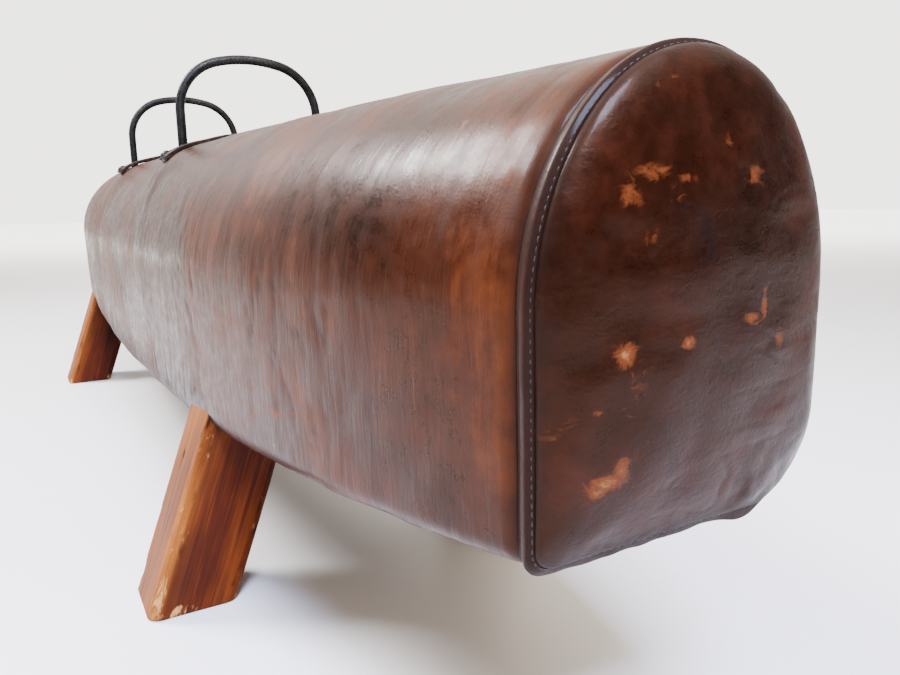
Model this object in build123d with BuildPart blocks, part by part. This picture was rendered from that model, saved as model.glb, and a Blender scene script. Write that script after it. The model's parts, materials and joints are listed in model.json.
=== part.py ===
"""A long leather-covered pommel horse on four short splayed legs, with two iron handles.

The body is a coopered wooden carcass, padded and covered in leather. It runs along X, its handles
stand across it along Y, and Z is up. The origin is on the floor, under the middle of the body.
"near" is the +X end, "far" the -X end, "left" the -Y side and "right" the +Y side.
"""
from build123d import *
from math import atan, cos, degrees, hypot, radians, sin, sqrt, tan
import os

# ---- body form: the leather's outer face ----
SEAM_X = 935.0            # from the middle to the outer edge of each end seam
MID_HALF_WIDTH = 155.5
END_HALF_WIDTH = 97.0
MID_UNDERSIDE = 131.0     # height of the belly above the floor
END_UNDERSIDE = 189.0
MID_CREST = 442.0         # height of the crown above the floor
END_CREST = 429.0
WIDTH_POWER = 4.2         # how late the sides draw in towards the ends
BELLY_POWER = 1.6
CREST_POWER = 2.0
CROWN_SHARE = 0.5         # the rounded crown's part of the body's height
LOWER_SHARE = 0.98        # width at the lower corners, as a part of the full width
LOWER_CORNER = 27.0       # radius between the sides and the underside
STATIONS = [-1.03, -0.92, -0.75, -0.5, -0.25, 0.0, 0.25, 0.5, 0.75, 0.92, 1.03]

# ---- layers, as depths from the leather's outer face ----
LEATHER = 3.0
FELT_FACE = 17.0
WOOD_FACE = 22.0
STAVE_INSIDE = 42.0
BOARD_INSIDE = 52.0
BOARD_LAP = 8.0           # how far the staves' hollow reaches into the board
STRIP_PROUD = 2.5         # the seam strips and the belly flap stand this far out
SHARPEST_CORNER = 6.0

# ---- ends ----
STRIP_WIDTH = 9.0
END_CROWN = 20.0          # how far each end bulges past its seam
END_ROUNDING = 16.0
PAD_DEPTH = 12.0          # from the seam in to the end former
END_FORMER = 30.0

# ---- carcass ----
STAVE_COUNT = 11
LOWEST_STAVE_TOP = -14.0  # degrees up from level, seen from the staves' centre
STAVE_GAP = 0.15          # degrees
INNER_FORMER = 22.0
QUARTER_FORMER_X = 690.0
POMMEL_BLOCK_ALONG = 60.0
POMMEL_BLOCK_FOOT = 318.0  # height of the block's flat underside

# ---- handles ----
HANDLE_X = 209.0
HANDLE_HALF_SPAN = 86.5
GRIP_HEIGHT = 533.0       # height of the grip's centre line above the floor
HANDLE_ROD = 11.0         # diameter
HANDLE_SHOULDER = 62.0    # radius of the two bends
GRIP_TURN = 14.0          # half of the angle that the grip itself turns through, in degrees
STRAP_ALONG = 34.0
STRAP_HALF_SPAN = 108.0
STRAP_THICKNESS = 4.5
STRAP_CORNER = 8.0
SCREW_Y = 100.0
SCREW_RADIUS = 4.0
SCREW_HEAD_RADIUS = 7.0
SCREW_HEAD_HEIGHT = 5.0
SCREW_HEAD_ROUNDING = 3.5
SCREW_LENGTH = 75.0
NUT_RADIUS = 9.0
NUT_HEIGHT = 9.0
WASHER_RADIUS = 13.0
WASHER_HEIGHT = 2.0
THREAD_BEYOND_NUT = 4.0

# ---- legs ----
LEG_X = 508.0
LEG_ALONG = 78.0
LEG_ACROSS = 74.0
LEG_FOOT_Y = 173.0        # middle of each foot
LEG_SPLAY = 20.0          # degrees out of upright
LEG_TOP = 270.0
LEG_ARRIS = 9.0
LEG_BLOCK_ALONG = 70.0
LEG_BLOCK_CLEARANCE = 4.0  # between the block and the base board
LEG_BOLT_Z = 240.0
LEG_BOLT_RADIUS = 6.0
LEG_BOLT_HEAD_Y = 98.0    # where the heads and nuts seat, inside the legs
LEG_SINKING_RADIUS = 15.0

# ---- belly flap ----
FLAP_WIDTH = 56.0
TACK_Y = 21.0
TACK_PITCH = 62.0
TACK_ROWS_REACH = 870.0
TACK_RADIUS = 4.5
TACK_HEIGHT = 2.2
TACK_TAPER = 50.0         # degrees

ROOM = 1200.0             # larger than the horse in every direction

os.makedirs("parts", exist_ok=True)


def share(x):
    """How far x is from the middle, as a part of the half length."""
    return abs(x) / SEAM_X


def half_width(x):
    return MID_HALF_WIDTH - (MID_HALF_WIDTH - END_HALF_WIDTH) * share(x) ** WIDTH_POWER


def underside(x):
    return MID_UNDERSIDE + (END_UNDERSIDE - MID_UNDERSIDE) * share(x) ** BELLY_POWER


def crest(x):
    return MID_CREST - (MID_CREST - END_CREST) * share(x) ** CREST_POWER


def crown_height(x):
    return CROWN_SHARE * (crest(x) - underside(x))


def crown_z(x, y, proud=0.0):
    """Height of the crown's face, or of a face that stands proud of it, at x and y."""
    rise = crown_height(x) + proud
    across = y / (half_width(x) + proud)
    return crest(x) - crown_height(x) + rise * sqrt(1 - across**2)


def crown_tilt(x, y):
    """Angle of the crown's face from level at x and y, in degrees."""
    rise, half = crown_height(x), half_width(x)
    return degrees(atan(rise / half * y / sqrt(half**2 - y**2)))


def d_section(x, inset, floor_inset=None):
    """D-shaped section of the body at x, moved in from the leather's outer face."""
    half = half_width(x) - inset
    spring = crest(x) - crown_height(x)
    low = underside(x) + (inset if floor_inset is None else floor_inset)
    foot = half_width(x) * LOWER_SHARE - inset
    with BuildSketch(Plane.YZ.offset(x)) as section:
        with BuildLine():
            EllipticalCenterArc((0, spring), half, crown_height(x) - inset, arc_size=180)
            Polyline((-half, spring), (-foot, low), (foot, low), (half, spring))
        make_face()
        lower_corners = section.vertices().group_by(Axis.Y)[0]
        fillet(lower_corners, max(LOWER_CORNER - inset, SHARPEST_CORNER))
    return section.sketch


def body_form(inset, floor_inset=None):
    """Solid of the whole body, a little longer than it, moved in by inset."""
    with BuildPart() as form:
        loft([d_section(SEAM_X * station, inset, floor_inset) for station in STATIONS])
    return form.part


def slab(start, end):
    """Box that keeps only what lies between two stations along X."""
    return Pos((start + end) / 2, 0, 0) * Box(abs(end - start), ROOM, ROOM, mode=Mode.PRIVATE)


def save(made, label):
    made.part.label = label
    export_step(made.part, f"parts/{label}.step")


leather_form = body_form(0)
leather_inside = body_form(LEATHER)
felt_form = body_form(FELT_FACE)
wood_form = body_form(WOOD_FACE)
cavity_form = body_form(STAVE_INSIDE, BOARD_INSIDE)
shell_core = body_form(STAVE_INSIDE, BOARD_INSIDE - BOARD_LAP)
proud_form = body_form(-STRIP_PROUD)
strap_form = body_form(-STRAP_THICKNESS)

COVER_X = SEAM_X - STRIP_WIDTH
FORMER_X = SEAM_X - PAD_DEPTH
SPLAY = radians(LEG_SPLAY)
FOOT_HALF = LEG_ACROSS / 2 / cos(SPLAY)     # half of the foot's width on the floor


# ---- legs, and the blocks and bolts that hold them ----
def leg_profile(side):
    """Outline of a leg seen along the body; side is 1 on the right and -1 on the left."""
    lean = LEG_TOP * tan(SPLAY)
    inner, outer = LEG_FOOT_Y - FOOT_HALF, LEG_FOOT_Y + FOOT_HALF
    with BuildSketch(Plane.YZ) as profile:
        with BuildLine():
            Polyline(
                (side * inner, 0),
                (side * outer, 0),
                (side * (outer - lean), LEG_TOP),
                (side * (inner - lean), LEG_TOP),
                close=True,
            )
        make_face()
    return profile.sketch


def leg_prism(x, side):
    """Plain leg with sharp edges, used for the leg itself and for the pockets it sits in."""
    with BuildPart() as prism:
        extrude(Pos(x, 0, 0) * leg_profile(side), amount=LEG_ALONG / 2, both=True)
    return prism.part


def bolt_hole(x, radius):
    """Cylinder across the body through both legs of a pair."""
    return Pos(x, 0, LEG_BOLT_Z) * Rot(X=90) * Cylinder(radius, 2 * ROOM, mode=Mode.PRIVATE)


leg_pockets = []
for end_name, x in (("near", LEG_X), ("far", -LEG_X)):
    for side_name, side in (("left", -1), ("right", 1)):
        leg_pockets.append(leg_prism(x, side))
        sinking_y = side * (LEG_BOLT_HEAD_Y + ROOM / 2)
        with BuildPart() as leg:
            add(leg_prism(x, side))
            long_edges = leg.edges().filter_by(lambda e: abs((e % 0.5).Z) > 0.5)
            fillet(long_edges, LEG_ARRIS)
            add(bolt_hole(x, LEG_BOLT_RADIUS), mode=Mode.SUBTRACT)
            with Locations(Location((x, sinking_y, LEG_BOLT_Z), (90, 0, 0))):
                Cylinder(LEG_SINKING_RADIUS, ROOM, mode=Mode.SUBTRACT)
        save(leg, f"{end_name}_{side_name}_leg")

    block_foot = underside(x) + BOARD_INSIDE + LEG_BLOCK_CLEARANCE
    foot_y = LEG_FOOT_Y - FOOT_HALF - block_foot * tan(SPLAY)
    top_y = LEG_FOOT_Y - FOOT_HALF - LEG_TOP * tan(SPLAY)
    with BuildPart() as leg_block:
        with BuildSketch(Plane.YZ.offset(x)):
            with BuildLine():
                Polyline(
                    (-foot_y, block_foot),
                    (foot_y, block_foot),
                    (top_y, LEG_TOP),
                    (-top_y, LEG_TOP),
                    close=True,
                )
            make_face()
        extrude(amount=LEG_BLOCK_ALONG / 2, both=True)
        add(bolt_hole(x, LEG_BOLT_RADIUS), mode=Mode.SUBTRACT)
    save(leg_block, f"{end_name}_leg_block")

    with BuildPart() as leg_bolt:
        with Locations(Location((x, 0, LEG_BOLT_Z), (90, 0, 0))):
            Cylinder(LEG_BOLT_RADIUS, 2 * LEG_BOLT_HEAD_Y + 2 * NUT_HEIGHT)
        with Locations(Location((x, -LEG_BOLT_HEAD_Y, LEG_BOLT_Z), (90, 0, 0))):
            Cylinder(WASHER_RADIUS, NUT_HEIGHT, align=(Align.CENTER, Align.CENTER, Align.MIN))
    save(leg_bolt, f"{end_name}_leg_bolt")

    with BuildPart() as leg_nut:
        with BuildSketch(Plane.XZ.offset(-LEG_BOLT_HEAD_Y)):
            with Locations((x, LEG_BOLT_Z)):
                RegularPolygon(WASHER_RADIUS, 6)
                Circle(LEG_BOLT_RADIUS, mode=Mode.SUBTRACT)
        extrude(amount=-NUT_HEIGHT)
    save(leg_nut, f"{end_name}_leg_nut")


# ---- handles: the holes that they need are taken out of every layer below ----
def handle_bar(foot):
    """Round bar along a handle's line at x = 0, with both ends going down to the height foot."""
    half, bend = HANDLE_HALF_SPAN, HANDLE_SHOULDER
    turn = radians(GRIP_TURN)
    grip_radius = bend + (half - bend) / sin(turn)
    spring = GRIP_HEIGHT - grip_radius + (grip_radius - bend) * cos(turn)
    meet_y = half - bend + bend * sin(turn)
    meet_z = spring + bend * cos(turn)
    with BuildPart() as bar:
        with BuildLine(Plane.YZ) as line:
            Line((-half, foot), (-half, spring))
            TangentArc((-half, spring), (-meet_y, meet_z), tangent=(0, 1))
            ThreePointArc((-meet_y, meet_z), (0, GRIP_HEIGHT), (meet_y, meet_z))
            TangentArc((half, spring), (meet_y, meet_z), tangent=(0, 1))
            Line((half, spring), (half, foot))
        with BuildSketch(Plane((0, -half, foot))):
            Circle(HANDLE_ROD / 2)
        sweep(path=line.wire())
    return bar.part


def screw(x, side, head=True):
    """Coach screw square to the crown, its head on the strap."""
    seat = (x, side * SCREW_Y, crown_z(x, SCREW_Y, STRAP_THICKNESS))
    square = Location(seat, (-side * crown_tilt(x, SCREW_Y), 0, 0))
    with BuildPart() as coach_screw:
        Cylinder(SCREW_RADIUS, SCREW_LENGTH, align=(Align.CENTER, Align.CENTER, Align.MAX))
        if head:
            Cylinder(SCREW_HEAD_RADIUS, SCREW_HEAD_HEIGHT, align=(Align.CENTER, Align.CENTER, Align.MIN))
            fillet(coach_screw.edges().group_by(Axis.Z)[-1], SCREW_HEAD_ROUNDING)
    return square * coach_screw.part


handle_holes = []
bar_foot = POMMEL_BLOCK_FOOT - WASHER_HEIGHT - NUT_HEIGHT - THREAD_BEYOND_NUT
for end_name, x in (("near", HANDLE_X), ("far", -HANDLE_X)):
    with BuildPart() as handle:
        add(Pos(x, 0, 0) * handle_bar(bar_foot))
    save(handle, f"{end_name}_handle")
    with BuildPart() as holes:
        with Locations((x, -HANDLE_HALF_SPAN, 0), (x, HANDLE_HALF_SPAN, 0)):
            Cylinder(HANDLE_ROD / 2, 2 * GRIP_HEIGHT)
        for side in (-1, 1):
            add(screw(x, side, head=False))
    handle_holes.append(holes.part)

    with BuildPart() as strap:
        add(strap_form)
        with BuildSketch(Plane.XY.offset(POMMEL_BLOCK_FOOT)):
            with Locations((x, 0)):
                RectangleRounded(STRAP_ALONG, 2 * STRAP_HALF_SPAN, STRAP_CORNER)
        extrude(amount=ROOM, mode=Mode.INTERSECT)
        add(leather_form, mode=Mode.SUBTRACT)
        add(holes.part, mode=Mode.SUBTRACT)
    save(strap, f"{end_name}_saddle_strap")

    with BuildPart() as screws:
        for side in (-1, 1):
            add(screw(x, side))
    save(screws, f"{end_name}_strap_screws")

    with BuildPart() as nuts:
        with BuildSketch(Plane.XY.offset(POMMEL_BLOCK_FOOT - WASHER_HEIGHT - NUT_HEIGHT)):
            with Locations((x, -HANDLE_HALF_SPAN), (x, HANDLE_HALF_SPAN)):
                RegularPolygon(NUT_RADIUS, 6)
                Circle(HANDLE_ROD / 2, mode=Mode.SUBTRACT)
        extrude(amount=NUT_HEIGHT)
        with BuildSketch(Plane.XY.offset(POMMEL_BLOCK_FOOT - WASHER_HEIGHT)):
            with Locations((x, -HANDLE_HALF_SPAN), (x, HANDLE_HALF_SPAN)):
                Circle(WASHER_RADIUS)
                Circle(HANDLE_ROD / 2, mode=Mode.SUBTRACT)
        extrude(amount=WASHER_HEIGHT)
    save(nuts, f"{end_name}_handle_nuts")

    block_reach = POMMEL_BLOCK_ALONG / 2
    with BuildPart() as pommel_block:
        add(cavity_form)
        add(slab(x - block_reach, x + block_reach), mode=Mode.INTERSECT)
        with Locations((x, 0, POMMEL_BLOCK_FOOT)):
            Box(ROOM, ROOM, ROOM, align=(Align.CENTER, Align.CENTER, Align.MAX), mode=Mode.SUBTRACT)
        add(holes.part, mode=Mode.SUBTRACT)
    save(pommel_block, f"{end_name}_pommel_block")


def drilled(form, start, end):
    """A body form between two stations, with the pockets for the legs and the handles' holes."""
    with BuildPart() as piece:
        add(form)
        add(slab(start, end), mode=Mode.INTERSECT)
        add(leg_pockets, mode=Mode.SUBTRACT)
        add(handle_holes, mode=Mode.SUBTRACT)
    return piece.part


# ---- leather, hair and felt ----
with BuildPart() as body_cover:
    add(drilled(leather_form, -COVER_X, COVER_X))
    add(leather_inside, mode=Mode.SUBTRACT)
save(body_cover, "body_cover")

with BuildPart() as hair_padding:
    add(drilled(leather_inside, -FORMER_X, FORMER_X))
    add(felt_form, mode=Mode.SUBTRACT)
save(hair_padding, "hair_padding")

with BuildPart() as felt_layer:
    add(drilled(felt_form, -FORMER_X, FORMER_X))
    add(wood_form, mode=Mode.SUBTRACT)
save(felt_layer, "felt_layer")

# ---- carcass ----
with BuildPart() as above_board_form:
    board_tops = []
    for station in STATIONS:
        board_top = underside(SEAM_X * station) + BOARD_INSIDE
        with BuildSketch(Plane.YZ.offset(SEAM_X * station)) as top_section:
            with Locations((0, board_top)):
                Rectangle(ROOM, ROOM, align=(Align.CENTER, Align.MIN))
        board_tops.append(top_section.sketch)
    loft(board_tops, mode=Mode.REPLACE)
above_board = above_board_form.part

wood_core = drilled(wood_form, -FORMER_X, FORMER_X)
with BuildPart() as base_board:
    add(wood_core)
    add(above_board, mode=Mode.SUBTRACT)
save(base_board, "base_board")

with BuildPart() as stave_shell:
    add(wood_core)
    add(above_board, mode=Mode.INTERSECT)
    add(shell_core, mode=Mode.SUBTRACT)

stave_centre = (0, MID_CREST - MID_HALF_WIDTH)
stave_turn = (180 - 2 * LOWEST_STAVE_TOP) / (STAVE_COUNT - 2)
stave_edges = [-90.0, *(LOWEST_STAVE_TOP + i * stave_turn for i in range(STAVE_COUNT - 1)), 270.0]
for number in range(STAVE_COUNT):
    first = radians(stave_edges[number] + STAVE_GAP)
    last = radians(stave_edges[number + 1] - STAVE_GAP)
    with BuildPart() as stave:
        add(stave_shell.part)
        with BuildSketch(Plane.YZ.offset(-ROOM)):
            with BuildLine():
                Polyline(
                    stave_centre,
                    (ROOM * cos(first), stave_centre[1] + ROOM * sin(first)),
                    (ROOM * cos(last), stave_centre[1] + ROOM * sin(last)),
                    close=True,
                )
            make_face()
        extrude(amount=2 * ROOM, mode=Mode.INTERSECT)
    save(stave, f"stave_{number + 1:02d}")

former_step = (POMMEL_BLOCK_ALONG + INNER_FORMER) / 2
formers = {
    "near_end_former": (FORMER_X - END_FORMER, FORMER_X),
    "far_end_former": (-FORMER_X, END_FORMER - FORMER_X),
}
inner_former_x = [
    -QUARTER_FORMER_X,
    -HANDLE_X - former_step,
    -HANDLE_X + former_step,
    HANDLE_X - former_step,
    HANDLE_X + former_step,
    QUARTER_FORMER_X,
]
for number, x in enumerate(inner_former_x):
    formers[f"inner_former_{number + 1}"] = (x - INNER_FORMER / 2, x + INNER_FORMER / 2)
for label, (start, end) in formers.items():
    with BuildPart() as former:
        add(cavity_form)
        add(slab(start, end), mode=Mode.INTERSECT)
    save(former, label)


# ---- ends ----
def domed_end(form, sign, crown, rounding):
    """The last stretch of a body form with a rounded cushion shape on the end of it."""
    outermost = -1 if sign > 0 else 0
    with BuildPart() as end:
        add(form)
        add(slab(sign * FORMER_X, sign * SEAM_X), mode=Mode.INTERSECT)
        extrude(end.faces().sort_by(Axis.X)[outermost], amount=crown)
        fillet(end.faces().sort_by(Axis.X)[outermost].edges(), rounding)
    return end.part


for end_name, sign in (("near", 1), ("far", -1)):
    with BuildPart() as seam_strip:
        add(proud_form)
        add(slab(sign * COVER_X, sign * SEAM_X), mode=Mode.INTERSECT)
        add(leather_inside, mode=Mode.SUBTRACT)
    save(seam_strip, f"{end_name}_seam_strip")

    with BuildPart() as end_pad:
        add(domed_end(leather_inside, sign, END_CROWN - LEATHER, END_ROUNDING - LEATHER))
    save(end_pad, f"{end_name}_end_pad")

    with BuildPart() as end_cover:
        add(domed_end(leather_form, sign, END_CROWN, END_ROUNDING))
        add(slab(0, sign * SEAM_X), mode=Mode.SUBTRACT)
        add(end_pad.part, mode=Mode.SUBTRACT)
    save(end_cover, f"{end_name}_end_cover")

# ---- belly flap and its tacks ----
with BuildPart() as belly_flap:
    add(proud_form)
    add(slab(-COVER_X, COVER_X), mode=Mode.INTERSECT)
    Box(2 * ROOM, FLAP_WIDTH, 2 * POMMEL_BLOCK_FOOT, mode=Mode.INTERSECT)
    add(leather_form, mode=Mode.SUBTRACT)
save(belly_flap, "belly_flap")

tack_steps = int(TACK_ROWS_REACH / TACK_PITCH)
with BuildPart() as belly_tacks:
    for step in range(-tack_steps, tack_steps + 1):
        x = step * TACK_PITCH
        rise = (underside(x + 1) - underside(x - 1)) / 2
        slope = hypot(1, rise)
        for y in (-TACK_Y, TACK_Y):
            seat = (x, y, underside(x) - STRIP_PROUD)
            downward = (rise / slope, 0, -1 / slope)
            with BuildSketch(Plane(seat, x_dir=(0, 1, 0), z_dir=downward)):
                Circle(TACK_RADIUS)
            extrude(amount=TACK_HEIGHT, taper=TACK_TAPER)
save(belly_tacks, "belly_tacks")
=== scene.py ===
"""Looks for a long leather pommel horse: glazed hide over padding, iron handles, worn wooden legs.

Metres, Z up. +X is the near end, -Y the left side. The body's section follows the same formulas as the
frame that it is built on, and every piece rides on that frame's one body.
"""

from itertools import product
from math import cos, pi, radians, sin

import bmesh
import bpy
import numpy as np
from mathutils import Matrix, Vector
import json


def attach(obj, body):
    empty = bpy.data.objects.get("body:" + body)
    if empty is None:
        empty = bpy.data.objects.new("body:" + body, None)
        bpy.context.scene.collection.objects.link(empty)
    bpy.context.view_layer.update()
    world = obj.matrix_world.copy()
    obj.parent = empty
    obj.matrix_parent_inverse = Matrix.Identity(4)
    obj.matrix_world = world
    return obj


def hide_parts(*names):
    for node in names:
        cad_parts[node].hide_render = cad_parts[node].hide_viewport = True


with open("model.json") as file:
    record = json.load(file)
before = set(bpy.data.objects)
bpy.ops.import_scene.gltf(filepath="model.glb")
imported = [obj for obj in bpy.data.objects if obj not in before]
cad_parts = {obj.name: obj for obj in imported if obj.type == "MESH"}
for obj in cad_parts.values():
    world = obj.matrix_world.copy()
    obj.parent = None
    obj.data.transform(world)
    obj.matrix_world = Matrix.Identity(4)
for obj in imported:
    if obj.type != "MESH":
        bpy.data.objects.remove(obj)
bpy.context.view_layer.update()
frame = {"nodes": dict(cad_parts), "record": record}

# ---- sizes of the body, as in the frame ----
MM = 0.001
SEAM_X = 0.935
STRIP_WIDTH = 9 * MM
COVER_X = SEAM_X - STRIP_WIDTH
MID_HALF_WIDTH, END_HALF_WIDTH, WIDTH_POWER = 0.1555, 0.097, 4.2
MID_UNDERSIDE, END_UNDERSIDE, BELLY_POWER = 0.131, 0.189, 1.6
MID_CREST, END_CREST, CREST_POWER = 0.442, 0.429, 2.0
CROWN_SHARE = 0.5
LOWER_SHARE = 0.98
LOWER_CORNER = 27 * MM
SHARP_CORNER, SLACK_CORNER = 12 * MM, 46 * MM    # the near end's left and right lower corners
END_SLUMP = 4 * MM        # the near end's padding has slumped this far to the right

# ---- sizes of what is fastened to it ----
HANDLE_X = 0.209
HANDLE_HALF_SPAN = 86.5 * MM
GRIP_HEIGHT = 0.533
HANDLE_ROD = 11 * MM
HANDLE_SHOULDER = 62 * MM
GRIP_TURN = radians(14)
STRAP_ALONG = 34 * MM
STRAP_HALF_SPAN = 108 * MM
STRAP_THICKNESS = 4.5 * MM
SCREW_Y = 100 * MM
LEG_X = 0.508
LEG_ALONG, LEG_ACROSS = 78 * MM, 74 * MM
LEG_FOOT_Y = 0.173
LEG_ARRIS = 11 * MM
LEG_SPLAY = radians(20)
LEG_TOP = 0.262
FLAP_WIDTH = 56 * MM
TACK_Y, TACK_PITCH, TACK_REACH = 21 * MM, 62 * MM, 0.87

AROUND = 256              # points round the body in every ring of its leather
END_SIGN = {"near": 1, "far": -1}
SIDE_SIGN = {"left": -1, "right": 1}


# ---- noise ----
rng = np.random.default_rng(11)
SHUFFLE = rng.permutation(256)
SLOPES = rng.normal(size=(256, 3))
SLOPES /= np.linalg.norm(SLOPES, axis=1)[:, None]


def waves(points, size, seed=0):
    """Smooth noise from about -1 to 1; size is the patch size in metres along X, Y and Z."""
    at = points / np.array(size) + 31.7 * seed
    cell = np.floor(at).astype(int)
    inside = at - cell
    fade = inside**3 * (inside * (inside * 6 - 15) + 10)
    total = np.zeros(len(points))
    for corner in product((0, 1), repeat=3):
        key = cell + corner
        index = SHUFFLE[(SHUFFLE[(SHUFFLE[key[:, 0] & 255] + key[:, 1]) & 255] + key[:, 2]) & 255]
        weight = np.prod(np.where(np.array(corner) == 1, fade, 1 - fade), axis=1)
        total += weight * np.sum(SLOPES[index] * (inside - corner), axis=1)
    return total * 1.7


def step(value, low, high):
    """0 below low and 1 above high, with a smooth ramp between."""
    t = np.clip((value - low) / (high - low), 0, 1)
    return t * t * (3 - 2 * t)


def blob(points, centre, reach):
    """1 at the centre, falling away smoothly; reach is in metres along X, Y and Z."""
    return np.exp(-np.sum(((points - np.array(centre)) / np.array(reach)) ** 2, axis=1))


# ---- the body's section ----
def share(x):
    return min(abs(x) / SEAM_X, 1.0)


def half_width(x):
    return MID_HALF_WIDTH - (MID_HALF_WIDTH - END_HALF_WIDTH) * share(x) ** WIDTH_POWER


def underside(x):
    return MID_UNDERSIDE + (END_UNDERSIDE - MID_UNDERSIDE) * share(x) ** BELLY_POWER


def crest(x):
    return MID_CREST - (MID_CREST - END_CREST) * share(x) ** CREST_POWER


def half_section(x, radius):
    """Points (y, z) from the middle of the belly up the right side to the crest, and the run to each."""
    half, low, top = half_width(x), underside(x), crest(x)
    rise = CROWN_SHARE * (top - low)
    spring, foot = top - rise, half * LOWER_SHARE
    up = np.array([half - foot, spring - low])
    up /= np.linalg.norm(up)
    inward = np.array([-1.0, 0.0])
    half_angle = np.arccos(np.dot(up, inward)) / 2
    middle = np.array([foot, low]) + (up + inward) / np.linalg.norm(up + inward) * radius / sin(half_angle)
    turn = np.linspace(-pi / 2, pi / 2 - 2 * half_angle, 24)[:, None]
    bend = middle + radius * np.hstack([np.cos(turn), np.sin(turn)])
    quarter = np.linspace(0, pi / 2, 90)[:, None]
    crown = np.hstack([half * np.cos(quarter), spring + rise * np.sin(quarter)])
    flat = np.linspace((0, low), bend[0], 30)[:-1]
    side = np.linspace(bend[-1], crown[0], 40)[1:-1]
    path = np.vstack([flat, bend, side, crown])
    return path, np.concatenate([[0], np.cumsum(np.linalg.norm(np.diff(path, axis=0), axis=1))])


def section(x, count=AROUND):
    """Points (y, z) round the body at x and their outward directions, from the middle of the belly."""
    near_end = float(step(np.array(x), 0.55, 0.92))
    turns = np.arange(count) / count
    loop = np.zeros((count, 2))
    for side, corner, chosen in ((1, SLACK_CORNER, turns <= 0.5), (-1, SHARP_CORNER, turns > 0.5)):
        path, run = half_section(x, LOWER_CORNER + (corner - LOWER_CORNER) * near_end)
        along = np.where(turns <= 0.5, turns, 1 - turns)[chosen] * 2 * run[-1]
        loop[chosen, 0] = side * np.interp(along, run, path[:, 0])
        loop[chosen, 1] = np.interp(along, run, path[:, 1])
    loop[:, 0] += END_SLUMP * near_end
    tangent = np.roll(loop, -1, axis=0) - np.roll(loop, 1, axis=0)
    outward = np.column_stack([tangent[:, 1], -tangent[:, 0]])
    return loop, outward / np.linalg.norm(outward, axis=1)[:, None]


def ring(x):
    """One ring of points round the body at x, and their outward directions in 3-D."""
    loop, outward = section(x)
    return np.column_stack([np.full(AROUND, x), loop]), np.column_stack([np.zeros(AROUND), outward])


# ---- mesh makers ----
def ride_and_dress(name, mesh, material, replaced=(), masks=None, grain=None):
    """A finished piece: smooth mesh, its masks and grain for the material, its place on the frame."""
    tidy = bmesh.new()
    tidy.from_mesh(mesh)
    bmesh.ops.recalc_face_normals(tidy, faces=tidy.faces)
    tidy.to_mesh(mesh)
    tidy.free()
    mesh.shade_smooth()
    for label, values in (masks or {}).items():
        layer = mesh.attributes.new(label, "FLOAT", "POINT")
        layer.data.foreach_set("value", np.clip(values, 0, 1).astype(np.float32))
    if grain is not None:
        layer = mesh.attributes.new("grain", "FLOAT_VECTOR", "POINT")
        layer.data.foreach_set("vector", grain.astype(np.float32).ravel())
    mesh.materials.append(material)
    piece = bpy.data.objects.new(name, mesh)
    bpy.context.scene.collection.objects.link(piece)
    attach(piece, "root")
    if replaced:
        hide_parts(*replaced)
    return piece


def mesh_of(name, points, faces):
    mesh = bpy.data.meshes.new(name)
    mesh.from_pydata(points.tolist(), [], faces)
    mesh.update()
    return mesh


def grid_faces(rows, columns, rows_close=False):
    """Quads between rings; every ring closes, and rows_close joins the last ring to the first."""
    row = np.arange(rows if rows_close else rows - 1)[:, None]
    column = np.arange(columns)[None, :]
    next_row, next_column = (row + 1) % rows, (column + 1) % columns
    quads = np.stack(
        [row * columns + column, row * columns + next_column, next_row * columns + next_column,
         next_row * columns + column], axis=-1)
    return quads.reshape(-1, 4).tolist()


def capped_tube(name, rings):
    """Closed mesh through rings of equal length, with a face on both ends."""
    rows, columns = rings.shape[:2]
    faces = grid_faces(rows, columns)
    faces.append(list(range(columns))[::-1])
    faces.append(list(range((rows - 1) * columns, rows * columns)))
    return mesh_of(name, rings.reshape(-1, 3), faces)


def joined(name, parts):
    """One mesh from several (points, faces) parts."""
    points, faces, used = [], [], 0
    for part_points, part_faces in parts:
        points.append(part_points)
        faces.extend([[i + used for i in face] for face in part_faces])
        used += len(part_points)
    return mesh_of(name, np.vstack(points), faces)


def rounded_loop(half_a, half_b, radius, count):
    """Points of a rounded rectangle: a quarter of them to each corner and the flat that follows it."""
    bend, loop = count // 8, []
    for index, (sa, sb) in enumerate(((1, 1), (-1, 1), (-1, -1), (1, -1))):
        middle = np.array((sa * (half_a - radius), sb * (half_b - radius)))
        for turn in np.linspace(index * pi / 2, (index + 1) * pi / 2, bend):
            loop.append(middle + radius * np.array((cos(turn), sin(turn))))
        run = (-2 * (half_a - radius) * sb, 0) if index % 2 == 0 else (0, -2 * (half_b - radius) * -sa)
        for share_along in np.arange(1, count // 4 - bend + 1) / (count // 4 - bend + 1):
            loop.append(loop[index * (count // 4) + bend - 1] + np.array(run) * share_along)
    return np.array(loop)


# ---- materials ----
def linear(hex_colour):
    """sRGB hex to linear RGBA."""
    values = [int(hex_colour[i:i + 2], 16) / 255 for i in (1, 3, 5)]
    return (*[v / 12.92 if v <= 0.04045 else ((v + 0.055) / 1.055) ** 2.4 for v in values], 1.0)


def node(tree, kind, settings=None, **links):
    """Adds a node. Settings are attributes or input values; links are sockets or values by input name."""
    made = tree.nodes.new(kind)
    for key, value in (settings or {}).items():
        if key in made.inputs.keys():
            made.inputs[key].default_value = value
        else:
            setattr(made, key, value)
    for key, value in links.items():
        socket = made.inputs[int(key[1:])] if key[0] == "i" and key[1:].isdigit() else made.inputs[key]
        if isinstance(value, bpy.types.NodeSocket):
            tree.links.new(value, socket)
        else:
            socket.default_value = value
    return made


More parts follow.
